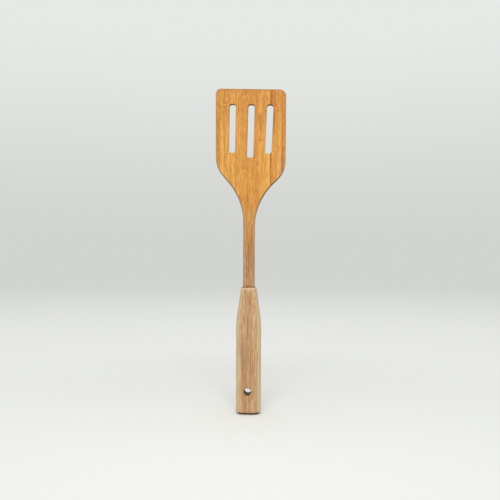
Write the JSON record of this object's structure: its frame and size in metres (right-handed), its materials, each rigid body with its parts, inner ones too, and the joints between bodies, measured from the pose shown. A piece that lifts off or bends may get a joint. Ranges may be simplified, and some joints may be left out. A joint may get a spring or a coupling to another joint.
{
  "type": "slotted turner",
  "caption": "Slotted kitchen turner of laminated bamboo, with a flat slotted blade, a slim neck tenoned into a stouter handle, and a hanging hole.",
  "frame": {"origin": "centre of the handle's flat butt, on its face", "axes": "+Z along the tool from the butt to the lip, -Y out of the front face, +X to the right seen from the front"},
  "size_m": [0.072, 0.018, 0.3309],
  "materials": {
    "head_bamboo": "oiled, satin",
    "handle_bamboo": "sanded, dull satin"
  },
  "bodies": {
    "root": {"head_strip_1": "head_bamboo", "head_strip_2": "head_bamboo", "head_strip_3": "head_bamboo", "head_strip_4": "head_bamboo", "head_strip_5": "head_bamboo", "head_strip_6": "head_bamboo", "head_strip_7": "head_bamboo", "head_strip_8": "head_bamboo", "head_strip_9": "head_bamboo", "head_strip_10": "head_bamboo", "head_strip_11": "head_bamboo", "head_strip_12": "head_bamboo", "head_strip_13": "head_bamboo", "handle_strip_1": "handle_bamboo", "handle_strip_2": "handle_bamboo", "handle_strip_3": "handle_bamboo", "handle_strip_4": "handle_bamboo", "handle_strip_5": "handle_bamboo"}
  },
  "joints": []
}
